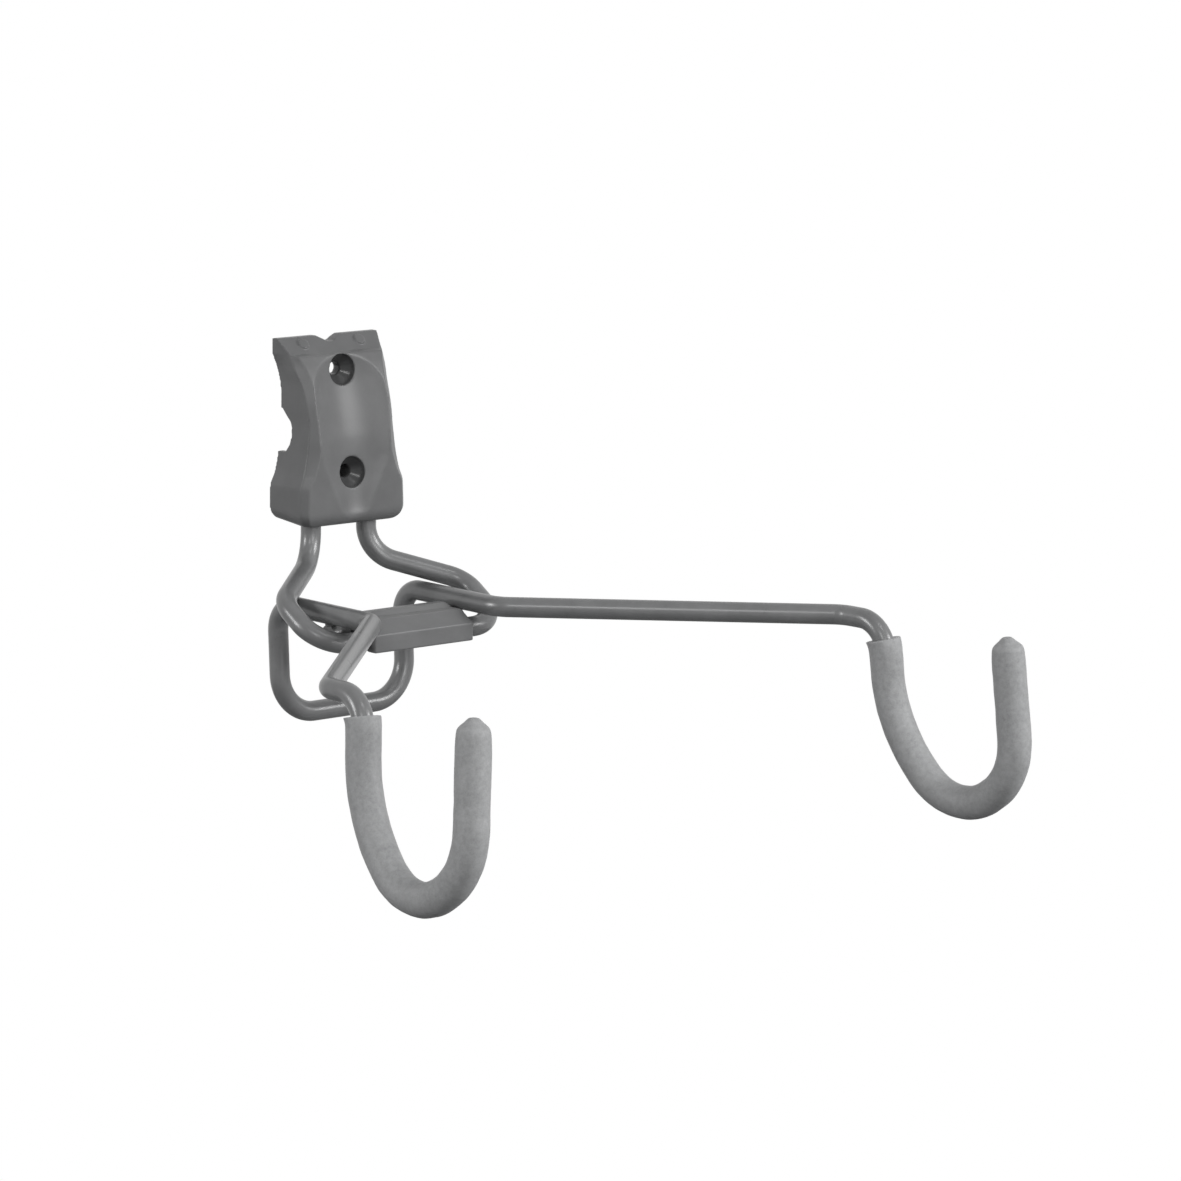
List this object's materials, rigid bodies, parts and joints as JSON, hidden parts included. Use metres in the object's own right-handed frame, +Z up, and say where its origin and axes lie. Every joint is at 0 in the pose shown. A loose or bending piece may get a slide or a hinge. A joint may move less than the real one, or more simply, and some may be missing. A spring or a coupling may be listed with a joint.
{
  "type": "bicycle storage hook",
  "caption": "Wall bracket with a bent wire loop and a fold-up wire carrier whose spread arms end in foam-covered hooks for hanging a bicycle by its frame.",
  "frame": {"origin": "middle of the two wall screws, on the wall plane at the back of the bracket", "axes": "+Z up, -Y straight out from the wall towards the room, +X to the right as seen from the room"},
  "size_m": [0.2826, 0.2619, 0.1749],
  "materials": {
    "moulded_plastic": "satin moulded, dark grey",
    "clip_plastic": "satin moulded, dark grey",
    "painted_wire": "satin paint, mid grey",
    "grip_foam": "fine-celled foam, grey"
  },
  "bodies": {
    "wall_mount": {"wall_bracket": "moulded_plastic", "wall_wire": "painted_wire", "hinge_clip": "clip_plastic"},
    "carrier": {"arm_wire": "painted_wire", "pivot_rod": "painted_wire", "left_grip": "grip_foam", "right_grip": "grip_foam"}
  },
  "joints": [
    {"name": "arm_fold", "type": "hinge", "parent": "wall_mount", "child": "carrier", "pos_m": [0, -0.046, -0.0779], "axis": [-1, 0, 0], "range_deg": [0, 90]}
  ]
}
